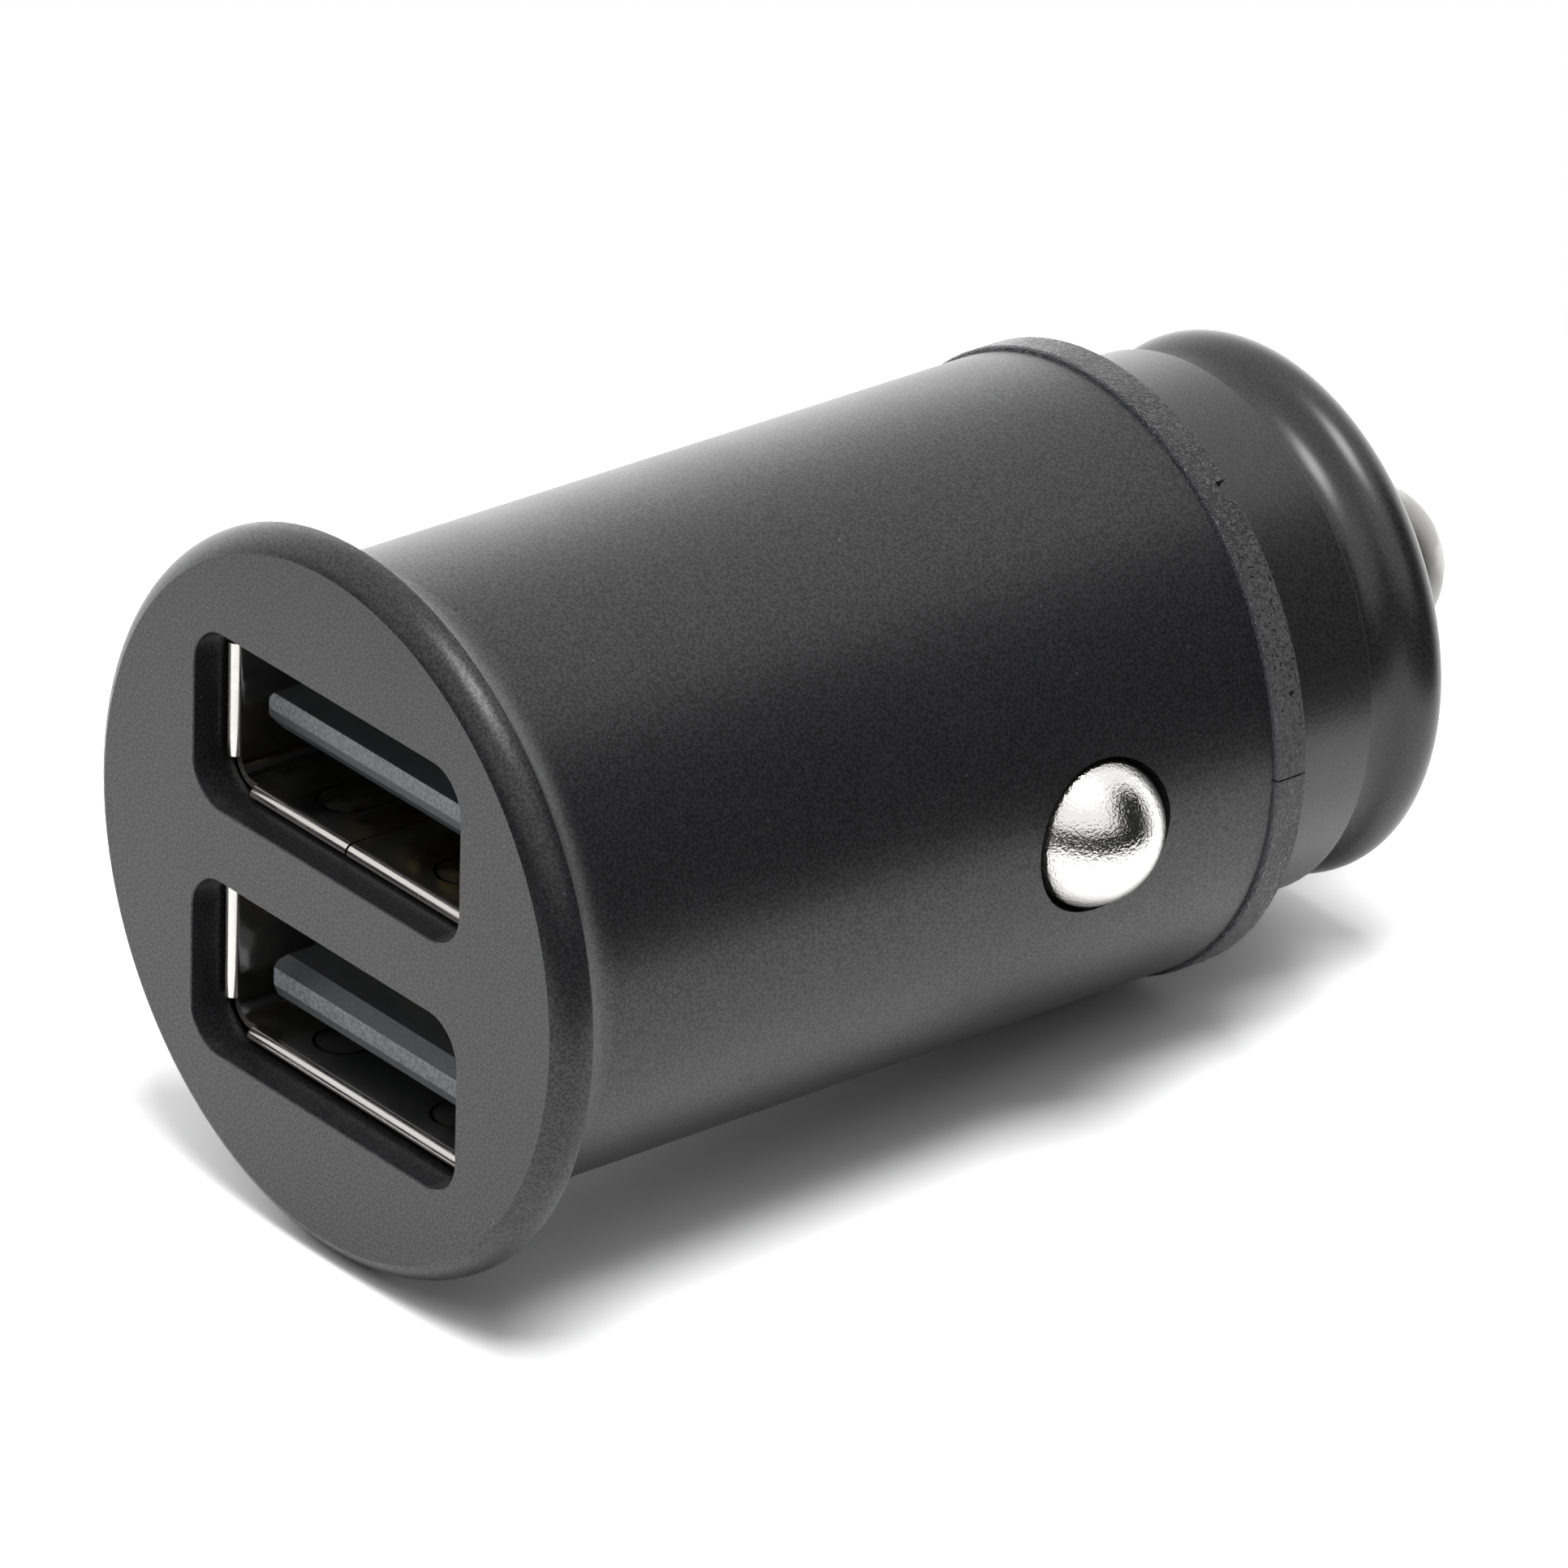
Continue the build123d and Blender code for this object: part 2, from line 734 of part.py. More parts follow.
# Inductor: shielded block with a round ferrite core
inductor_station = board_rear - terminal_tab_length - part_gap - inductor_side / 2
with BuildPart() as power_inductor:
    with BuildSketch(Plane.XY.offset(board_top + solder_gap)) as footprint:
        with Locations((0, inductor_station)):
            Rectangle(inductor_side, inductor_side)
        chamfer(footprint.vertices(), inductor_corner)
    extrude(amount=inductor_height)
    with BuildSketch(Plane.XY.offset(board_top + solder_gap + inductor_height)):
        with Locations((0, inductor_station)):
            Circle(inductor_core_diameter / 2)
    extrude(amount=inductor_core_rise)
power_inductor.part.label = "power_inductor"
export_step(power_inductor.part, "parts/power_inductor.step")


# Capacitors: a can on a square base with two cut corners
def can_capacitor(label, x, y, seat, up, diameter, height, base, base_chamfer):
    """Can that stands on the board at x, y, on its upper face (up = 1) or under its lower one (-1)."""
    foot = seat + up * solder_gap
    with BuildPart() as can:
        with BuildSketch(Plane.XY.offset(foot)) as footprint:
            with Locations((x, y)):
                Rectangle(diameter, diameter)
            chamfer(footprint.vertices().group_by(Axis.Y)[-1], base_chamfer)
        extrude(amount=up * base)
        with BuildSketch(Plane.XY.offset(foot + up * base)):
            with Locations((x, y)):
                Circle(diameter / 2)
        extrude(amount=up * (height - base))
    can.part.label = label
    export_step(can.part, f"parts/{label}.step")


ports_rear = foot_rear + terminal_slot_clearance + terminal_thickness
parts_station = ports_rear + part_gap + small_can_diameter / 2
side_station = board_wide - rail_reach - part_gap - small_can_diameter / 2
can_capacitor(
    "input_capacitor",
    0,
    board_rear - part_gap - can_diameter / 2,
    board_bottom,
    -1,
    can_diameter,
    can_height,
    can_base,
    can_base_chamfer,
)
can_capacitor(
    "output_capacitor",
    -side_station,
    parts_station,
    board_top,
    1,
    small_can_diameter,
    small_can_height,
    small_can_base,
    small_can_chamfer,
)

# Converter chip under the board, with its row of leads on each side
with BuildPart() as converter_chip:
    chip_face = board_bottom - solder_gap
    chip_station = ports_rear + part_gap + chip_width / 2 + chip_lead_reach
    with Locations((0, chip_station, chip_face - chip_height / 2)):
        Box(chip_length, chip_width, chip_height)
    with Locations((0, chip_station, chip_face - chip_lead_height / 2)):
        with GridLocations(chip_lead_pitch, 0, chip_leads, 1):
            Box(chip_lead_width, chip_width + 2 * chip_lead_reach, chip_lead_height)
converter_chip.part.label = "converter_chip"
export_step(converter_chip.part, "parts/converter_chip.step")

# Rectifier diode on the board, with the drafted sides of a moulded package
with BuildPart() as rectifier_diode:
    with BuildSketch(Plane.XY.offset(board_top + solder_gap)):
        with Locations((side_station, parts_station)):
            Rectangle(diode_width, diode_length)
    extrude(amount=diode_height, taper=diode_taper)
rectifier_diode.part.label = "rectifier_diode"
export_step(rectifier_diode.part, "parts/rectifier_diode.step")

# Small chip resistors and capacitors, in a row on the board between the two
with BuildPart() as chip_parts:
    with Locations((0, parts_station, board_top + solder_gap + resistor_height / 2)):
        with GridLocations(resistor_pitch, resistor_row_pitch, resistors_in_row, resistor_rows):
            Box(resistor_width, resistor_length, resistor_height)
chip_parts.part.label = "chip_parts"
export_step(chip_parts.part, "parts/chip_parts.step")
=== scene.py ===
"""Dresses the packed car charger plug: finishes for its solids, round springs, and a studio around it.

Metres, in the plug's own frame: its axis is +Y from face to nose, +Z is up and +X is right from the front.
"""

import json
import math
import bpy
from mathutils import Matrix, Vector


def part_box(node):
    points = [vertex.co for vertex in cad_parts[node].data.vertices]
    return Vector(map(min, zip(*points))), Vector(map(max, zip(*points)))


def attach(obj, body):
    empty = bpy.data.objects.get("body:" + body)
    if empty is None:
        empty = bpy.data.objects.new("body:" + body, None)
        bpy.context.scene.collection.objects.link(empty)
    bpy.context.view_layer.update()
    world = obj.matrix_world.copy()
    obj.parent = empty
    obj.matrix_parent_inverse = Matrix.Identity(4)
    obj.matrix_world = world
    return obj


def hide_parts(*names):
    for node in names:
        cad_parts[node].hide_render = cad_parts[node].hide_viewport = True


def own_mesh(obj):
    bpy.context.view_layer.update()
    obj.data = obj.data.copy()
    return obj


bl_info = {
    "name": "Car charger plug",
    "version": (1, 0, 0),
    "blender": (4, 5, 0),
    "location": "View3D > Sidebar > Charger plug",
    "description": "Finishes, springs and studio for a car charger plug",
    "category": "Object",
}

import bmesh
import bpy
from bpy.props import FloatProperty, FloatVectorProperty, IntProperty, PointerProperty
from mathutils import Matrix, Vector

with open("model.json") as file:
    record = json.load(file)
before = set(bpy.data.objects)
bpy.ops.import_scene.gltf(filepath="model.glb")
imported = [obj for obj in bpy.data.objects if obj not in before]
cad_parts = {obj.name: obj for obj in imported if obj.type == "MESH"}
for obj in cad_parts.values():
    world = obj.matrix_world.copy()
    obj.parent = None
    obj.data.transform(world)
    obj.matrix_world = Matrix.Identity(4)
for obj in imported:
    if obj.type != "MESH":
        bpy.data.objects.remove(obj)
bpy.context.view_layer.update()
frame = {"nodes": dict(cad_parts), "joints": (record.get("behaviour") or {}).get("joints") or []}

MM = 0.001
PHOTO_SIDE = 1932
MERGE_DISTANCE = 0.0005 * MM
SHARP_ANGLE = math.radians(35)
PLUG_AXIS = (0, 1, 0)
WIRE_SIDES = 14
FLOOR_SIDES = 96

# Cosines between which each part of the tent fades in, and the direction of its dark gap
FRONT_FADE = (-0.4, -0.15)
LOW_FADE = (0.32, 0.2)
ROOF_FADE = (0.8, 0.55)
GAP_FADE = (0.84, 0.92)
BEHIND_FADE = (-0.4, -0.7)
NEAR_FLOOR_FADE = (0.75, 0.1)
GAP_DIRECTION = (0.656, 0.656, 0.374)


def colour_property(name, description, default):
    """A linear colour that a user can set."""
    return FloatVectorProperty(
        name=name, description=description, default=default, size=3, min=0, max=1, subtype="COLOR"
    )


def length_property(name, description, default):
    """A length in metres that a user can set."""
    return FloatProperty(
        name=name, description=description, default=default, min=0, subtype="DISTANCE", precision=6
    )


def factor_property(name, description, default):
    """A share from 0 to 1 that a user can set."""
    return FloatProperty(name=name, description=description, default=default, min=0, max=1, subtype="FACTOR")


class ShellSettings(bpy.types.PropertyGroup):
    """Black anodised shell."""

    colour: colour_property("Colour", "Dye of the anodised layer", (0.015, 0.015, 0.0165))
    roughness: factor_property("Roughness", "Roughness of the blasted surface", 0.35)
    grain: length_property("Grain", "Size of a blasted pit", 0.095 * MM)
    grain_depth: length_property("Grain depth", "Depth of a blasted pit", 0.003 * MM)
    speck: length_property("Speck spacing", "Distance between bright specks", 1.3 * MM)


class MouldingSettings(bpy.types.PropertyGroup):
    """Black mouldings of the carrier and the nose."""

    colour: colour_property("Colour", "Colour of the plastic", (0.03, 0.03, 0.032))
    collar_grain: length_property("Collar grain", "Size of the collar's wrinkles", 0.13 * MM)
    collar_depth: length_property("Collar depth", "Depth of the collar's wrinkles", 0.13 * MM)
    neck_grain: length_property("Neck grain", "Size of the neck's fine grain", 0.09 * MM)
    neck_depth: length_property("Neck depth", "Depth of the neck's fine grain", 0.006 * MM)
    neck_length: length_property("Neck length", "Length of the grained neck", 3.93 * MM)
    # Width of the painted highlight lines along the neck's rear edge and the collar's front edge
    edge_highlight: length_property(
        "Edge highlight", "Width of the paler line at the neck's rear and the collar's front edge", 0.12 * MM
    )


class MetalSettings(bpy.types.PropertyGroup):
    """Plated contacts, sheet and wire."""

    nickel: colour_property("Nickel", "Colour of nickel plate", (0.79, 0.78, 0.76))
    peen: length_property("Peening", "Size of the dents in the contacts", 0.1 * MM)
    peen_depth: length_property("Peening depth", "Depth of the dents in the contacts", 0.022 * MM)
    brass: colour_property("Brass", "Colour of brass sheet", (0.62, 0.44, 0.18))
    gilt: colour_property("Gilt", "Colour of the gilt terminals", (0.8, 0.56, 0.2))
    wire: colour_property("Wire", "Colour of spring wire", (0.5, 0.49, 0.47))


class PortSettings(bpy.types.PropertyGroup):
    """Port shells and tongues."""

    sheet: colour_property("Sheet", "Colour of the plated sheet", (0.62, 0.6, 0.57))
    tongue: colour_property("Tongue", "Colour of the moulded tongues", (0.1, 0.106, 0.118))
    # The next two settings give a painted highlight: its colour on the tongues' front faces, and the height
    # of that band at the top of each front face
    tongue_highlight: colour_property("Tongue highlight", "Colour of the tongues' matt front edge", (0.47, 0.5, 0.55))
    highlight_height: length_property("Band height", "Height of the matt band on a tongue's front", 0.6 * MM)
    band_edge: length_property("Band edge", "Softness of the band's lower edge", 0.03 * MM)


class SpringSettings(bpy.types.PropertyGroup):
    """Coil springs behind the contacts."""

    pin_turns: FloatProperty(name="Pin turns", description="Turns of the centre spring", default=4.0, min=1)
    side_turns: FloatProperty(name="Side turns", description="Turns of a side spring", default=3.0, min=1)
    pin_wire: length_property("Pin wire", "Wire of the centre spring", 0.36 * MM)
    side_wire: length_property("Side wire", "Wire of a side spring", 0.26 * MM)
    steps: IntProperty(name="Steps", description="Segments in one turn", default=40, min=8)


class BoardSettings(bpy.types.PropertyGroup):
    """Board and its parts."""

    mask: colour_property("Solder mask", "Colour of the board", (0.02, 0.12, 0.05))
    ferrite: colour_property("Ferrite", "Colour of the inductor", (0.07, 0.07, 0.07))
    can: colour_property("Can", "Colour of the capacitors", (0.75, 0.75, 0.76))
    resin: colour_property("Resin", "Colour of the chip and diode", (0.02, 0.02, 0.02))
    ceramic: colour_property("Ceramic", "Colour of the chip parts", (0.4, 0.3, 0.2))


class StageSettings(bpy.types.PropertyGroup):
    """Camera, floor and light."""

    azimuth: FloatProperty(
        name="Azimuth",
        description="Camera's turn from the front towards +X",
        default=math.radians(50.921),
        subtype="ANGLE",
    )
    elevation: FloatProperty(
        name="Elevation",
        description="Camera's height above the level",
        default=math.radians(26.756),
        subtype="ANGLE",
    )
    roll: FloatProperty(
        name="Roll", description="Camera's turn about its view", default=math.radians(1.561), subtype="ANGLE"
    )
    focal_pixels: FloatProperty(
        name="Focal length",
        description="Focal length in the photo's pixels",
        default=20165.4,
        subtype="PIXEL",
    )
    aim: FloatVectorProperty(
        name="Aim",
        description="Place of the face's centre in the camera's view: right, down and ahead",
        default=(-14.111 * MM, 3.888 * MM, 501.37 * MM),
        size=3,
        subtype="TRANSLATION",
    )
    floor: colour_property("Floor", "Colour of the floor", (0.95, 0.95, 0.95))
    floor_radius: length_property("Floor radius", "Radius of the white sheet under the plug", 65 * MM)
    floor_seen: FloatProperty(name="Seen floor", description="Gain of the floor in view", default=1.75, min=1)
    floor_mirrored: FloatProperty(
        name="Mirrored floor", description="Gain of the floor in reflections", default=1.7, min=1
    )
    key_radiance: FloatProperty(
        name="Key light", description="Brightness of the softbox", default=11.7, min=0
    )
    key_direction: FloatVectorProperty(
        name="Key direction",
        description="Direction of the softbox from the plug",
        default=(0.22, -0.13, 1.0),
        size=3,
        subtype="XYZ",
    )
    key_side: length_property("Key side", "Side of the square softbox", 0.4)
    key_distance: length_property("Key distance", "Distance of the softbox", 0.95)
    tent: FloatProperty(name="Tent", description="Brightness of the white tent", default=0.6, min=0)
    tent_open: FloatProperty(
        name="Open side",
        description="Soft light from the tent's open side, towards the camera",
        default=0.05,
        min=0,
    )
    tent_mirrored: FloatProperty(
        name="Mirrored tent", description="Brightness of the white tent in reflections", default=1.1, min=0
    )
    sweep: FloatProperty(
        name="Sweep", description="Brightness of the backdrop low behind", default=2.25, min=0
    )
    room: factor_property("Room", "Brightness of the dark room in front of the tent", 0.03)


def add_node(tree, kind, inputs=None, **settings):
    """A new node with its settings and its unlinked inputs set."""
    node = tree.nodes.new(kind)
    for key, value in settings.items():
        setattr(node, key, value)
    for key, value in (inputs or {}).items():
        node.inputs[key].default_value = value
    return node


def opaque(colour):
    """A colour with full alpha."""
    return (*colour, 1.0)


def scaled(colour, factor):
    """A colour made darker or lighter."""
    return tuple(factor * channel for channel in colour)


def math_node(tree, operation, first, second):
    """Output of a Math node on two values, each a socket or a number."""
    node = tree.nodes.new("ShaderNodeMath")
    node.operation = operation
    for socket, value in zip(node.inputs, (first, second)):
        if isinstance(value, bpy.types.NodeSocket):
            tree.links.new(value, socket)
        else:
            socket.default_value = value
    return node.outputs[0]


def ramp_node(tree, value, low, high, to_low=0.0, to_high=1.0):
    """Output of a smooth Map Range from low..high to to_low..to_high."""
    node = add_node(
        tree,
        "ShaderNodeMapRange",
        {"From Min": low, "From Max": high, "To Min": to_low, "To Max": to_high},
        interpolation_type="SMOOTHSTEP",
    )
    tree.links.new(value, node.inputs["Value"])
    return node.outputs["Result"]


def mix_colours(tree, mask, first, second):
    """Output of a colour mix by a mask, from first, a socket or a colour, to second, a colour."""
    node = add_node(tree, "ShaderNodeMix", data_type="RGBA")
    tree.links.new(mask, node.inputs["Factor"])
    colours = [socket for socket in node.inputs if socket.type == "RGBA"]
    if isinstance(first, bpy.types.NodeSocket):
        tree.links.new(first, colours[0])
    else:
        colours[0].default_value = opaque(first)
    colours[1].default_value = opaque(second)
    return next(socket for socket in node.outputs if socket.type == "RGBA")


def effect_group(name, inputs, outputs):
    """An empty shader node group with value sockets, and its input and output nodes."""
    group = bpy.data.node_groups.new(name, "ShaderNodeTree")
    for label, default in inputs.items():
        socket = group.interface.new_socket(label, in_out="INPUT", socket_type="NodeSocketFloat")
        socket.default_value = default
    for label in outputs:
        group.interface.new_socket(label, in_out="OUTPUT", socket_type="NodeSocketFloat")
    return group, group.nodes.new("NodeGroupInput"), group.nodes.new("NodeGroupOutput")


def object_coordinates(tree):
    """The socket with a point's place in the plug's frame."""
    return tree.nodes.new("ShaderNodeTexCoord").outputs["Object"]


def noise_node(tree, size, inputs):
    """Output of a Noise Texture in the plug's frame, with features of the size that a socket gives."""
    noise = add_node(tree, "ShaderNodeTexNoise", inputs)
    tree.links.new(object_coordinates(tree), noise.inputs["Vector"])
    tree.links.new(math_node(tree, "DIVIDE", 1.0, size), noise.inputs["Scale"])
    return noise.outputs["Fac"]


def fine_grain_group():
    """Fine even grain of a blasted or etched surface, with sparse specks."""
    name = "Fine grain"
    if name in bpy.data.node_groups:
        return bpy.data.node_groups[name]
    group, given, result = effect_group(
        name, {"Grain Size": 0.1 * MM, "Speck Spacing": 1.0 * MM}, ("Height", "Specks")
    )
    noise = noise_node(group, given.outputs["Grain Size"], {"Detail": 2.0, "Roughness": 0.6})
    group.links.new(noise, result.inputs["Height"])
    cells = add_node(group, "ShaderNodeTexVoronoi")
    group.links.new(object_coordinates(group), cells.inputs["Vector"])
    group.links.new(math_node(group, "DIVIDE", 1.0, given.outputs["Speck Spacing"]), cells.inputs["Scale"])
    speck_edge = (0.045, 0.015)
    group.links.new(ramp_node(group, cells.outputs["Distance"], *speck_edge), result.inputs["Specks"])
    return group


def wrinkle_group():
    """Coarse short wrinkles of a spark-eroded mould."""
    name = "Spark wrinkles"
    if name in bpy.data.node_groups:
        return bpy.data.node_groups[name]
    group, given, result = effect_group(name, {"Wrinkle Size": 0.16 * MM}, ("Height",))
    noise = noise_node(
        group, given.outputs["Wrinkle Size"], {"Detail": 3.0, "Roughness": 0.55, "Distortion": 1.2}
    )
    wrinkle_edges = (0.38, 0.62)
    group.links.new(ramp_node(group, noise, *wrinkle_edges), result.inputs["Height"])
    return group


def haze_group():
    """Soft patches where handling and plating leave a surface duller."""
    name = "Handling haze"
    if name in bpy.data.node_groups:
        return bpy.data.node_groups[name]
    group, given, result = effect_group(name, {"Patch Size": 3.0 * MM}, ("Mask",))
    noise = noise_node(group, given.outputs["Patch Size"], {"Detail": 3.0, "Roughness": 0.5})
    patch_edges = (0.35, 0.65)
    group.links.new(ramp_node(group, noise, *patch_edges), result.inputs["Mask"])
    return group


def vector_node(tree, operation, first, second=None):
    """A Vector Math node on one or two vectors, each a socket or a fixed vector."""
    node = add_node(tree, "ShaderNodeVectorMath", operation=operation)
    for socket, value in zip(node.inputs, (first, second)):
        if isinstance(value, bpy.types.NodeSocket):
            tree.links.new(value, socket)
        elif value is not None:
            socket.default_value = value
    return node


def turned_normal_group():
    """Normal of a surface turned about the plug's axis, with no step where its mesh begins and ends."""
    name = "Turned normal"
    if name in bpy.data.node_groups:
        return bpy.data.node_groups[name]
    group = bpy.data.node_groups.new(name, "ShaderNodeTree")
    group.interface.new_socket("Normal", in_out="OUTPUT", socket_type="NodeSocketVector")
    result = group.nodes.new("NodeGroupOutput")
    normal = group.nodes.new("ShaderNodeNewGeometry").outputs["Normal"]
    around = vector_node(group, "CROSS_PRODUCT", PLUG_AXIS, object_coordinates(group)).outputs["Vector"]
    tangent = vector_node(group, "NORMALIZE", around).outputs["Vector"]
    lean = vector_node(group, "DOT_PRODUCT", normal, tangent).outputs["Value"]
    step_limits = (0.1, 0.06)
    slight = ramp_node(group, math_node(group, "ABSOLUTE", lean, 0.0), *step_limits)
    excess = vector_node(group, "SCALE", tangent)
    group.links.new(math_node(group, "MULTIPLY", lean, slight), excess.inputs["Scale"])
    straight = vector_node(group, "SUBTRACT", normal, excess.outputs["Vector"]).outputs["Vector"]
    unit = vector_node(group, "NORMALIZE", straight).outputs["Vector"]
    group.links.new(unit, result.inputs["Normal"])
    return group


def place_group(tree, group, inputs):
    """A node group in a material, with its own values."""
    node = tree.nodes.new("ShaderNodeGroup")
    node.node_tree = group
    for key, value in inputs.items():
        node.inputs[key].default_value = value
    return node


def new_material(name, **constants):
    """A material with constants on its Principled shader."""
    material = bpy.data.materials.new(name)
    material.use_nodes = True
    tree = material.node_tree
    shader = next(node for node in tree.nodes if node.type == "BSDF_PRINCIPLED")
    for key, value in constants.items():
        shader.inputs[key].default_value = value
    return material, tree, shader


def split_vector(tree, vector):
    """The outputs of a Separate XYZ node on a vector."""
    node = tree.nodes.new("ShaderNodeSeparateXYZ")
    tree.links.new(vector, node.inputs["Vector"])
    return node.outputs


def patchy_roughness(tree, shader, patch, polished, dull):
    """Sets a roughness that goes from polished to dull in soft patches, and gives their mask."""
    mask = place_group(tree, haze_group(), {"Patch Size": patch}).outputs["Mask"]
    tree.links.new(ramp_node(tree, mask, 0.0, 1.0, polished, dull), shader.inputs["Roughness"])
    return mask


def add_bump(tree, shader, height, depth):
    """Bump of the given depth in metres from a height socket."""
    bump = add_node(tree, "ShaderNodeBump", {"Strength": 1.0, "Distance": depth})
    tree.links.new(height, bump.inputs["Height"])
    tree.links.new(bump.outputs["Normal"], shader.inputs["Normal"])
    return bump


def add_turned_bump(tree, shader, height, depth):
    """Bump on a surface that is turned about the plug's axis."""
    bump = add_bump(tree, shader, height, depth)
    turned = place_group(tree, turned_normal_group(), {})
    tree.links.new(turned.outputs["Normal"], bump.inputs["Normal"])


def anodised_material(settings):
    """Black anodised, bead-blasted aluminium with sparse bright specks."""
    material, tree, shader = new_material("Black anodised", IOR=1.47)
    grain = place_group(
        tree, fine_grain_group(), {"Grain Size": settings.grain, "Speck Spacing": settings.speck}
    )
    pit_edges = (0.36, 0.64)
    pit_gloss = (0.385, 0.615)
    haze_swing = 0.01
    pit, land, speck = (scaled(settings.colour, factor) for factor in (0.7, 1.6, 7))
    pits = ramp_node(tree, grain.outputs["Height"], *pit_edges)
    colour = mix_colours(tree, grain.outputs["Specks"], mix_colours(tree, pits, pit, land), speck)
    tree.links.new(colour, shader.inputs["Base Color"])
    tree.links.new(ramp_node(tree, pits, 0.0, 1.0, *pit_gloss), shader.inputs["Specular IOR Level"])
    patchy_roughness(
        tree,
        shader,
        patch=5 * MM,
        polished=settings.roughness - haze_swing,
        dull=settings.roughness + haze_swing,
    )
    add_turned_bump(tree, shader, grain.outputs["Height"], settings.grain_depth)
    return material


def collar_material(settings):
    """Wrinkled black moulding of the carrier and its collar, with a painted highlight line along the collar's
    front edge.
    """
    material, tree, shader = new_material("Black moulding, wrinkled")
    wrinkles = place_group(tree, wrinkle_group(), {"Wrinkle Size": settings.collar_grain})
    valley, ridge, highlight_colour = (scaled(settings.colour, factor) for factor in (0.25, 3.4, 9))
    wrinkled = mix_colours(tree, wrinkles.outputs["Height"], valley, ridge)
    along = split_vector(tree, object_coordinates(tree))["Y"]
    # A painted highlight line runs along the collar's front edge, just behind the shell's end, in a much
    # lighter colour
    shell_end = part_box("front_shell")[1].y
    shell_fade = 0.02 * MM
    behind_shell = ramp_node(tree, along, shell_end, shell_end + shell_fade)
    front_edge = ramp_node(tree, along, shell_end + settings.edge_highlight, shell_end)
    painted_edge_highlight = math_node(tree, "MULTIPLY", behind_shell, front_edge)
    tree.links.new(mix_colours(tree, painted_edge_highlight, wrinkled, highlight_colour), shader.inputs["Base Color"])
    patchy_roughness(tree, shader, patch=2 * MM, polished=0.24, dull=0.34)
    add_turned_bump(tree, shader, wrinkles.outputs["Height"], settings.collar_depth)
    return material


def nose_material(settings):
    """Black moulding whose neck is finely grained and whose groove and lip are satin, with a painted
    highlight line at the neck's rear edge.
    """
    material, tree, shader = new_material("Black moulding, satin", IOR=1.55)
    grain = place_group(tree, fine_grain_group(), {"Grain Size": settings.neck_grain})
    along = split_vector(tree, object_coordinates(tree))["Y"]
    neck_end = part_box("nose_cap")[0].y + settings.neck_length
    neck_fade = 0.05 * MM
    neck = ramp_node(tree, along, neck_end + neck_fade, neck_end)
    lip_roughness, neck_roughness = 0.31, 0.33
    roughness = ramp_node(tree, neck, 0.0, 1.0, lip_roughness, neck_roughness)
    tree.links.new(roughness, shader.inputs["Roughness"])
    pit_edges = (0.3, 0.7)
    pit, land, highlight_colour = (scaled(settings.colour, factor) for factor in (0.25, 1.1, 4))
    pits = ramp_node(tree, grain.outputs["Height"], *pit_edges)
    # A painted highlight line along the neck's rear edge, in a lighter colour
    rear_edge = ramp_node(tree, along, neck_end - settings.edge_highlight, neck_end)
    painted_edge_highlight = math_node(tree, "MULTIPLY", rear_edge, neck)
    colour = mix_colours(tree, painted_edge_highlight, mix_colours(tree, pits, pit, land), highlight_colour)
    tree.links.new(colour, shader.inputs["Base Color"])
    pitting = math_node(tree, "MULTIPLY", neck, grain.outputs["Height"])
    add_turned_bump(tree, shader, pitting, settings.neck_depth)
    return material


def plated_material(name, colour, polished, dull, dent_size, dent_depth):
    """Plated metal with shallow dents and duller patches."""
    material, tree, shader = new_material(name, Metallic=1.0)
    shader.inputs["Base Color"].default_value = opaque(colour)
    patchy_roughness(tree, shader, patch=1.5 * MM, polished=polished, dull=dull)
    dents = place_group(tree, fine_grain_group(), {"Grain Size": dent_size})
    add_bump(tree, shader, dents.outputs["Height"], dent_depth)
    return material


def plain_material(name, colour, polished, dull, grain, depth, metallic=0.0):
    """Even finish with a light grain and patches, for pieces inside the plug."""
    material, tree, shader = new_material(name, Metallic=metallic)
    patches = patchy_roughness(tree, shader, patch=1.0 * MM, polished=polished, dull=dull)
    darker = scaled(colour, 0.8)
    tree.links.new(mix_colours(tree, patches, colour, darker), shader.inputs["Base Color"])
    pits = place_group(tree, fine_grain_group(), {"Grain Size": grain})
    add_bump(tree, shader, pits.outputs["Height"], depth)
    return material


def tongue_material(settings, name):
    """Satin moulding whose front faces are matt, with a painted highlight band along the top of each front
    face.
    """
    material, tree, shader = new_material(f"Tongue moulding, {name}")
    points = [vertex.co for vertex in frame["nodes"][name].data.vertices]
    tip = min(point.y for point in points) + settings.band_edge
    band_end = max(point.z for point in points if point.y < tip) - settings.highlight_height
    facing = split_vector(tree, tree.nodes.new("ShaderNodeTexCoord").outputs["Normal"])["Y"]
    height = split_vector(tree, object_coordinates(tree))["Z"]
    front_facing = (-0.95, -0.99)
    front = ramp_node(tree, facing, *front_facing)
    upper = ramp_node(tree, height, band_end - settings.band_edge, band_end + settings.band_edge)
    # Painted highlight: front-facing surfaces above band_end take the lighter colour
    band = math_node(tree, "MULTIPLY", front, upper)
    grain = place_group(tree, fine_grain_group(), {"Grain Size": 0.12 * MM})
    mottle_edges, mottle_share = (0.4, 0.62), 0.5
    mottle = ramp_node(tree, grain.outputs["Height"], *mottle_edges, 0.0, mottle_share)
    plain = mix_colours(tree, band, settings.tongue, settings.tongue_highlight)
    dark = scaled(settings.tongue, 0.7)
    tree.links.new(mix_colours(tree, mottle, plain, dark), shader.inputs["Base Color"])
    satin, matt = 0.32, 0.5
    tree.links.new(ramp_node(tree, front, 0.0, 1.0, satin, matt), shader.inputs["Roughness"])
    add_bump(tree, shader, grain.outputs["Height"], depth=0.005 * MM)
    return material


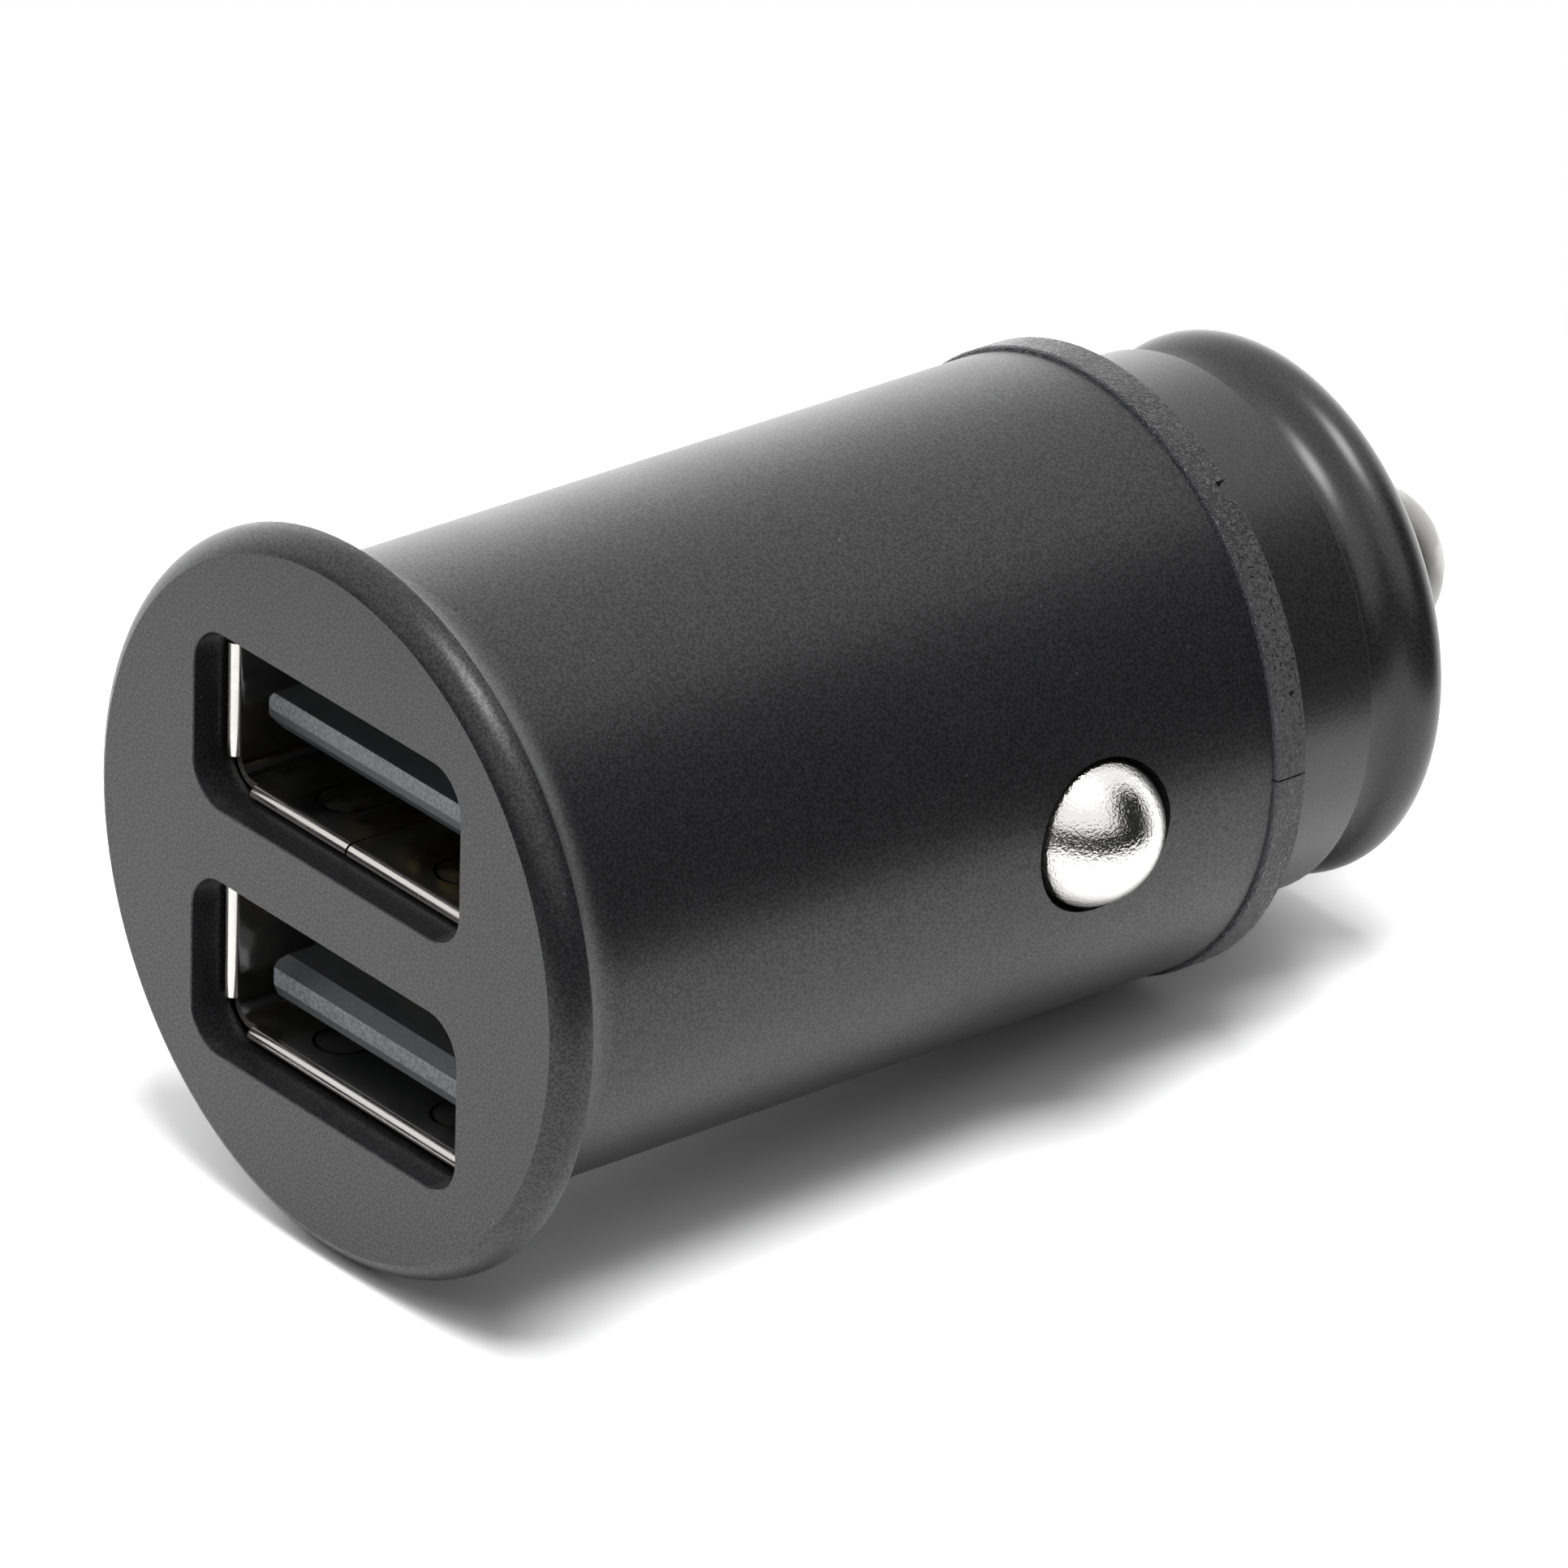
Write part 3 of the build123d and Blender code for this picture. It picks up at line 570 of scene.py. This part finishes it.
def merged_copy(name, body, material):
    """Replaces a CAD node by a copy with its points merged, so that its round faces shade evenly."""
    mesh = frame["nodes"][name].data.copy()
    for layer in [layer for layer in mesh.attributes if layer.name == "custom_normal"]:
        mesh.attributes.remove(layer)
    shape = bmesh.new()
    shape.from_mesh(mesh)
    bmesh.ops.remove_doubles(shape, verts=shape.verts, dist=MERGE_DISTANCE)
    shape.to_mesh(mesh)
    shape.free()
    mesh.shade_smooth()
    mesh.set_sharp_from_angle(angle=SHARP_ANGLE)
    mesh.materials.clear()
    mesh.materials.append(material)
    piece = bpy.data.objects.new(f"{name}_plated", mesh)
    bpy.context.scene.collection.objects.link(piece)
    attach(piece, body)
    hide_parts(name)


def finish_node(name, material):
    """Gives a CAD node its material."""
    node = frame["nodes"][name]
    node.data.materials.clear()
    node.data.materials.append(material)


class PLUG_OT_shell(bpy.types.Operator):
    """Finish the front shell in black anodised aluminium"""

    bl_idname = "plug.shell"
    bl_label = "Front shell"

    def execute(self, context):
        finish_node("front_shell", anodised_material(context.scene.plug_shell))
        return {"FINISHED"}


class PLUG_OT_mouldings(bpy.types.Operator):
    """Finish the carrier with its collar, and the nose"""

    bl_idname = "plug.mouldings"
    bl_label = "Collar and nose"

    def execute(self, context):
        settings = context.scene.plug_moulding
        collar = collar_material(settings)
        for name in ("carrier_upper", "carrier_lower"):
            finish_node(name, collar)
        finish_node("nose_cap", nose_material(settings))
        return {"FINISHED"}


class PLUG_OT_contacts(bpy.types.Operator):
    """Finish the centre pin, the side contacts and the sheet behind them"""

    bl_idname = "plug.contacts"
    bl_label = "Contacts"

    def execute(self, context):
        settings = context.scene.plug_metal
        ball = plated_material(
            "Nickel plate",
            settings.nickel,
            polished=0.06,
            dull=0.14,
            dent_size=settings.peen,
            dent_depth=settings.peen_depth,
        )
        for name in ("side_contact_right", "side_contact_left"):
            merged_copy(name, name, ball)
        # The pin's nickel is darkened as painted shade, a shaded copy of the side contacts' nickel
        pin_painted_shade = 0.28
        pin = plated_material(
            "Satin nickel",
            scaled(settings.nickel, pin_painted_shade),
            polished=0.28,
            dull=0.42,
            dent_size=0.2 * MM,
            dent_depth=0.002 * MM,
        )
        merged_copy("centre_pin", "centre_pin", pin)
        brass = plain_material(
            "Brass sheet",
            settings.brass,
            polished=0.25,
            dull=0.4,
            grain=0.1 * MM,
            depth=0.002 * MM,
            metallic=1.0,
        )
        for name in ("pin_terminal", "ground_plate_right", "ground_plate_left"):
            finish_node(name, brass)
        return {"FINISHED"}


class PLUG_OT_ports(bpy.types.Operator):
    """Finish the port shells, their tongues and their terminals"""

    bl_idname = "plug.ports"
    bl_label = "Ports"

    def execute(self, context):
        settings = context.scene.plug_port
        sheet = plated_material(
            "Nickel sheet",
            settings.sheet,
            polished=0.14,
            dull=0.24,
            dent_size=0.25 * MM,
            dent_depth=0.002 * MM,
        )
        gilt = plain_material(
            "Gilt terminals",
            context.scene.plug_metal.gilt,
            polished=0.2,
            dull=0.35,
            grain=0.08 * MM,
            depth=0.001 * MM,
            metallic=1.0,
        )
        for level in ("upper", "lower"):
            finish_node(f"usb_shell_{level}", sheet)
            finish_node(f"usb_tongue_{level}", tongue_material(settings, f"usb_tongue_{level}"))
            finish_node(f"usb_contacts_{level}", gilt)
        return {"FINISHED"}


def coil_tree(material):
    """Geometry Nodes tree that winds a round wire into a spring along +Z from the origin."""
    tree = bpy.data.node_groups.new("Coil spring", "GeometryNodeTree")
    tree.interface.new_socket("Geometry", in_out="INPUT", socket_type="NodeSocketGeometry")
    for label, kind in (
        ("Turns", "NodeSocketFloat"),
        ("Coil Radius", "NodeSocketFloat"),
        ("Wire Radius", "NodeSocketFloat"),
        ("Rise", "NodeSocketFloat"),
        ("Steps", "NodeSocketInt"),
    ):
        tree.interface.new_socket(label, in_out="INPUT", socket_type=kind)
    tree.interface.new_socket("Geometry", in_out="OUTPUT", socket_type="NodeSocketGeometry")
    given = tree.nodes.new("NodeGroupInput")
    result = tree.nodes.new("NodeGroupOutput")
    spiral = tree.nodes.new("GeometryNodeCurveSpiral")
    tree.links.new(given.outputs["Steps"], spiral.inputs["Resolution"])
    tree.links.new(given.outputs["Turns"], spiral.inputs["Rotations"])
    tree.links.new(given.outputs["Coil Radius"], spiral.inputs["Start Radius"])
    tree.links.new(given.outputs["Coil Radius"], spiral.inputs["End Radius"])
    tree.links.new(given.outputs["Rise"], spiral.inputs["Height"])
    section = add_node(tree, "GeometryNodeCurvePrimitiveCircle", {"Resolution": WIRE_SIDES})
    tree.links.new(given.outputs["Wire Radius"], section.inputs["Radius"])
    wire = add_node(tree, "GeometryNodeCurveToMesh", {"Fill Caps": True})
    tree.links.new(spiral.outputs["Curve"], wire.inputs["Curve"])
    tree.links.new(section.outputs["Curve"], wire.inputs["Profile Curve"])
    smooth = tree.nodes.new("GeometryNodeSetShadeSmooth")
    tree.links.new(wire.outputs["Mesh"], smooth.inputs["Geometry"])
    paint = add_node(tree, "GeometryNodeSetMaterial", {"Material": material})
    tree.links.new(smooth.outputs["Geometry"], paint.inputs["Geometry"])
    tree.links.new(paint.outputs["Geometry"], result.inputs["Geometry"])
    return tree


def tree_inputs(tree):
    """Identifier of each of a tree's inputs by its name."""
    return {
        item.name: item.identifier
        for item in tree.interface.items_tree
        if item.item_type == "SOCKET" and item.in_out == "INPUT"
    }


def evaluated_mesh(tree, values):
    """Plain mesh from a Geometry Nodes tree with the given inputs."""
    holder = bpy.data.objects.new("holder", bpy.data.meshes.new("holder"))
    bpy.context.scene.collection.objects.link(holder)
    modifier = holder.modifiers.new("Nodes", "NODES")
    modifier.node_group = tree
    names = tree_inputs(tree)
    for label, value in values.items():
        modifier[names[label]] = value
    bpy.context.view_layer.update()
    graph = bpy.context.evaluated_depsgraph_get()
    mesh = bpy.data.meshes.new_from_object(holder.evaluated_get(graph), depsgraph=graph)
    bpy.data.objects.remove(holder)
    if not mesh.polygons:
        raise RuntimeError(f"{tree.name} made no faces")
    return mesh


def wind_spring(node, joint, tree, turns, wire, steps):
    """Replaces a spring's solid by a round wire wound along its joint's axis."""
    low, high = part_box(node)
    travel = next(entry for entry in frame["joints"] if entry["name"] == joint)
    push = Vector(travel["axis"])
    size = high - low
    along = max(range(3), key=lambda index: abs(push[index]))
    across = max(size[index] for index in range(3) if index != along)
    mesh = evaluated_mesh(
        tree,
        {
            "Turns": turns,
            "Coil Radius": (across - wire) / 2,
            "Wire Radius": wire / 2,
            "Rise": size[along] - wire,
            "Steps": steps,
        },
    )
    middle = (low + high) / 2
    seat = middle + push * (size[along] / 2)
    foot = seat - push * (wire / 2)
    turn = (-push).to_track_quat("Z", "Y").to_matrix().to_4x4()
    mesh.transform(Matrix.Translation(foot) @ turn)
    piece = bpy.data.objects.new(f"{node}_wire", mesh)
    bpy.context.scene.collection.objects.link(piece)
    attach(piece, "housing")
    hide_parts(node)
    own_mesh(piece)


class PLUG_OT_springs(bpy.types.Operator):
    """Wind the springs behind the centre pin and the side contacts"""

    bl_idname = "plug.springs"
    bl_label = "Springs"

    def execute(self, context):
        settings = context.scene.plug_spring
        wire = plain_material(
            "Spring wire",
            context.scene.plug_metal.wire,
            polished=0.25,
            dull=0.4,
            grain=0.05 * MM,
            depth=0.001 * MM,
            metallic=1.0,
        )
        tree = coil_tree(wire)
        wind_spring(
            "centre_spring", "centre_pin_slide", tree, settings.pin_turns, settings.pin_wire, settings.steps
        )
        for side in ("right", "left"):
            wind_spring(
                f"side_spring_{side}",
                f"side_contact_{side}_slide",
                tree,
                settings.side_turns,
                settings.side_wire,
                settings.steps,
            )
        return {"FINISHED"}


class PLUG_OT_board(bpy.types.Operator):
    """Finish the board and the parts on it"""

    bl_idname = "plug.board"
    bl_label = "Board"

    def execute(self, context):
        settings = context.scene.plug_board
        laminate = plain_material(
            "Board laminate", settings.mask, polished=0.2, dull=0.3, grain=0.3 * MM, depth=0.002 * MM
        )
        ferrite = plain_material(
            "Ferrite", settings.ferrite, polished=0.55, dull=0.7, grain=0.1 * MM, depth=0.006 * MM
        )
        can = plain_material(
            "Can aluminium",
            settings.can,
            polished=0.2,
            dull=0.3,
            grain=0.2 * MM,
            depth=0.001 * MM,
            metallic=1.0,
        )
        resin = plain_material(
            "Chip resin", settings.resin, polished=0.45, dull=0.6, grain=0.06 * MM, depth=0.004 * MM
        )
        ceramic = plain_material(
            "Ceramic", settings.ceramic, polished=0.5, dull=0.6, grain=0.06 * MM, depth=0.003 * MM
        )
        for name, material in (
            ("circuit_board", laminate),
            ("power_inductor", ferrite),
            ("input_capacitor", can),
            ("output_capacitor", can),
            ("converter_chip", resin),
            ("rectifier_diode", resin),
            ("chip_parts", ceramic),
        ):
            finish_node(name, material)
        return {"FINISHED"}


def view_axes(settings):
    """Right, up and back of the camera in the plug's frame."""
    turn, lift, roll = settings.azimuth, settings.elevation, settings.roll
    back = Vector((math.sin(turn) * math.cos(lift), -math.cos(turn) * math.cos(lift), math.sin(lift)))
    level = Vector((math.cos(turn), math.sin(turn), 0))
    rise = back.cross(level)
    right = math.cos(roll) * level + math.sin(roll) * rise
    up = math.cos(roll) * rise - math.sin(roll) * level
    return right, up, back


def make_camera(settings):
    """Camera at the photo's place."""
    right, up, back = view_axes(settings)
    aside, down, ahead = settings.aim
    place = -aside * right + down * up + ahead * back
    data = bpy.data.cameras.new("Camera")
    data.sensor_width = 36.0
    data.lens = data.sensor_width * settings.focal_pixels / PHOTO_SIDE
    data.clip_start = 0.05
    data.clip_end = 20.0
    camera = bpy.data.objects.new("Camera", data)
    bpy.context.scene.collection.objects.link(camera)
    rotation = Matrix((right, up, back)).transposed().to_4x4()
    camera.matrix_world = Matrix.Translation(place) @ rotation
    bpy.context.scene.camera = camera


def floor_tilt():
    """Angle and height of the floor that touches the flange's rim and the collar's rear edge.

    The flange's widest band ends at rim_end, and collar_break is the bevel of the collar's edge.
    """
    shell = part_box("front_shell")
    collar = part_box("carrier_lower")
    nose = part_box("nose_cap")
    rim_end = 1.12 * MM
    collar_break = 0.05 * MM
    rear = nose[0].y - collar_break
    flange = shell[1].z
    drop = flange + collar[0].z
    tilt = math.atan2(drop, rear - rim_end)
    return tilt, -flange - math.tan(tilt) * rim_end


def floor_material(settings):
    """White floor that keeps its shadow and is seen brighter than it lights the plug."""
    material = bpy.data.materials.new("Floor")
    material.use_nodes = True
    tree = material.node_tree
    tree.nodes.clear()
    output = tree.nodes.new("ShaderNodeOutputMaterial")
    paper = tree.nodes.new("ShaderNodeBsdfDiffuse")
    path = tree.nodes.new("ShaderNodeLightPath")
    seen = math_node(tree, "MAXIMUM", path.outputs["Is Camera Ray"], path.outputs["Is Transmission Ray"])
    shown = mix_colours(tree, seen, settings.floor, scaled(settings.floor, settings.floor_seen))
    mirrored = scaled(settings.floor, settings.floor_mirrored)
    colour = mix_colours(tree, path.outputs["Is Glossy Ray"], shown, mirrored)
    tree.links.new(colour, paper.inputs["Color"])
    tree.links.new(paper.outputs["BSDF"], output.inputs["Surface"])
    return material


def make_floor(settings):
    """Round white sheet under the plug, which lies on its flange and collar."""
    tilt, height = floor_tilt()
    middle = Vector((-20 * MM, 5 * MM, 0))
    corners = []
    for step in range(FLOOR_SIDES):
        turn = 2 * math.pi * step / FLOOR_SIDES
        corners.append(middle + settings.floor_radius * Vector((math.cos(turn), math.sin(turn), 0)))
    mesh = bpy.data.meshes.new("Floor")
    mesh.from_pydata(corners, [], [range(FLOOR_SIDES)])
    mesh.transform(Matrix.Translation((0, 0, height)) @ Matrix.Rotation(tilt, 4, "X"))
    mesh.materials.append(floor_material(settings))
    floor = bpy.data.objects.new("Floor", mesh)
    bpy.context.scene.collection.objects.link(floor)


def make_key(settings):
    """Square softbox that faces the plug's middle."""
    data = bpy.data.lights.new("Key softbox", "AREA")
    data.shape = "SQUARE"
    data.size = settings.key_side
    data.energy = settings.key_radiance * math.pi * settings.key_side**2
    light = bpy.data.objects.new("Key softbox", data)
    bpy.context.scene.collection.objects.link(light)
    aim = Vector(settings.key_direction).normalized()
    target = Vector((0, 20 * MM, 0))
    turn = aim.to_track_quat("Z", "Y").to_matrix().to_4x4()
    light.matrix_world = Matrix.Translation(target + aim * settings.key_distance) @ turn


def direction_mask(tree, direction, towards, fade):
    """Mask that rises between two cosines of the angle from one direction to another."""
    dot = vector_node(tree, "DOT_PRODUCT", direction, towards)
    return ramp_node(tree, dot.outputs["Value"], *fade)


def grey(brightness):
    """An even colour of the given brightness."""
    return (brightness,) * 3


def make_world(settings):
    """White tent with a bright sweep behind, dim and open to a dark room on the camera's side.

    The camera itself sees plain white.
    """
    world = bpy.data.worlds.new("Tent")
    world.use_nodes = True
    tree = world.node_tree
    background = next(node for node in tree.nodes if node.type == "BACKGROUND")
    direction = tree.nodes.new("ShaderNodeTexCoord").outputs["Generated"]
    back = view_axes(settings)[2]
    camera_side = Vector((back.x, back.y, 0)).normalized()
    up = (0, 0, 1)
    front = direction_mask(tree, direction, camera_side, FRONT_FADE)
    low = direction_mask(tree, direction, up, LOW_FADE)
    gap = direction_mask(tree, direction, GAP_DIRECTION, GAP_FADE)
    dark = math_node(tree, "MAXIMUM", math_node(tree, "MULTIPLY", front, low), gap)
    behind = direction_mask(tree, direction, camera_side, BEHIND_FADE)
    near_floor = direction_mask(tree, direction, up, NEAR_FLOOR_FADE)
    sweep = math_node(tree, "MULTIPLY", behind, near_floor)
    below_roof = direction_mask(tree, direction, up, ROOF_FADE)
    open_side = math_node(tree, "MULTIPLY", front, below_roof)
    path = tree.nodes.new("ShaderNodeLightPath")
    soft = mix_colours(tree, open_side, grey(settings.tent), grey(settings.tent_open))
    tent = mix_colours(tree, path.outputs["Is Glossy Ray"], soft, grey(settings.tent_mirrored))
    backdrop = mix_colours(tree, sweep, tent, grey(settings.sweep))
    shade = mix_colours(tree, dark, backdrop, grey(settings.room))
    colour = mix_colours(tree, path.outputs["Is Camera Ray"], shade, grey(1.0))
    tree.links.new(colour, background.inputs["Color"])
    bpy.context.scene.world = world


class PLUG_OT_stage(bpy.types.Operator):
    """Set up the camera, the floor, the softbox and the tent"""

    bl_idname = "plug.stage"
    bl_label = "Stage"

    def execute(self, context):
        settings = context.scene.plug_stage
        make_camera(settings)
        make_floor(settings)
        make_key(settings)
        make_world(settings)
        context.scene.view_settings.view_transform = "Standard"
        return {"FINISHED"}


class PLUG_PT_panel(bpy.types.Panel):
    """Lists the plug's steps and their settings"""

    bl_idname = "PLUG_PT_panel"
    bl_label = "Charger plug"
    bl_space_type = "VIEW_3D"
    bl_region_type = "UI"
    bl_category = "Charger plug"

    def draw(self, context):
        for operator in OPERATORS:
            self.layout.operator(operator.bl_idname)
        for name, group in SETTINGS.items():
            box = self.layout.box()
            box.label(text=group.__doc__)
            for key in group.__annotations__:
                box.prop(getattr(context.scene, name), key)


SETTINGS = {
    "plug_shell": ShellSettings,
    "plug_moulding": MouldingSettings,
    "plug_metal": MetalSettings,
    "plug_port": PortSettings,
    "plug_spring": SpringSettings,
    "plug_board": BoardSettings,
    "plug_stage": StageSettings,
}
OPERATORS = (
    PLUG_OT_stage,
    PLUG_OT_shell,
    PLUG_OT_mouldings,
    PLUG_OT_contacts,
    PLUG_OT_ports,
    PLUG_OT_springs,
    PLUG_OT_board,
)


def register():
    for name, group in SETTINGS.items():
        bpy.utils.register_class(group)
        setattr(bpy.types.Scene, name, PointerProperty(type=group))
    for operator in OPERATORS:
        bpy.utils.register_class(operator)
    bpy.utils.register_class(PLUG_PT_panel)


def unregister():
    bpy.utils.unregister_class(PLUG_PT_panel)
    for operator in reversed(OPERATORS):
        bpy.utils.unregister_class(operator)
    for name, group in SETTINGS.items():
        delattr(bpy.types.Scene, name)
        bpy.utils.unregister_class(group)


def main():
    """Registers the classes and runs each step in order."""
    register()
    bpy.ops.plug.stage()
    bpy.ops.plug.shell()
    bpy.ops.plug.mouldings()
    bpy.ops.plug.contacts()
    bpy.ops.plug.ports()
    bpy.ops.plug.springs()
    bpy.ops.plug.board()


if __name__ == "__main__":
    main()
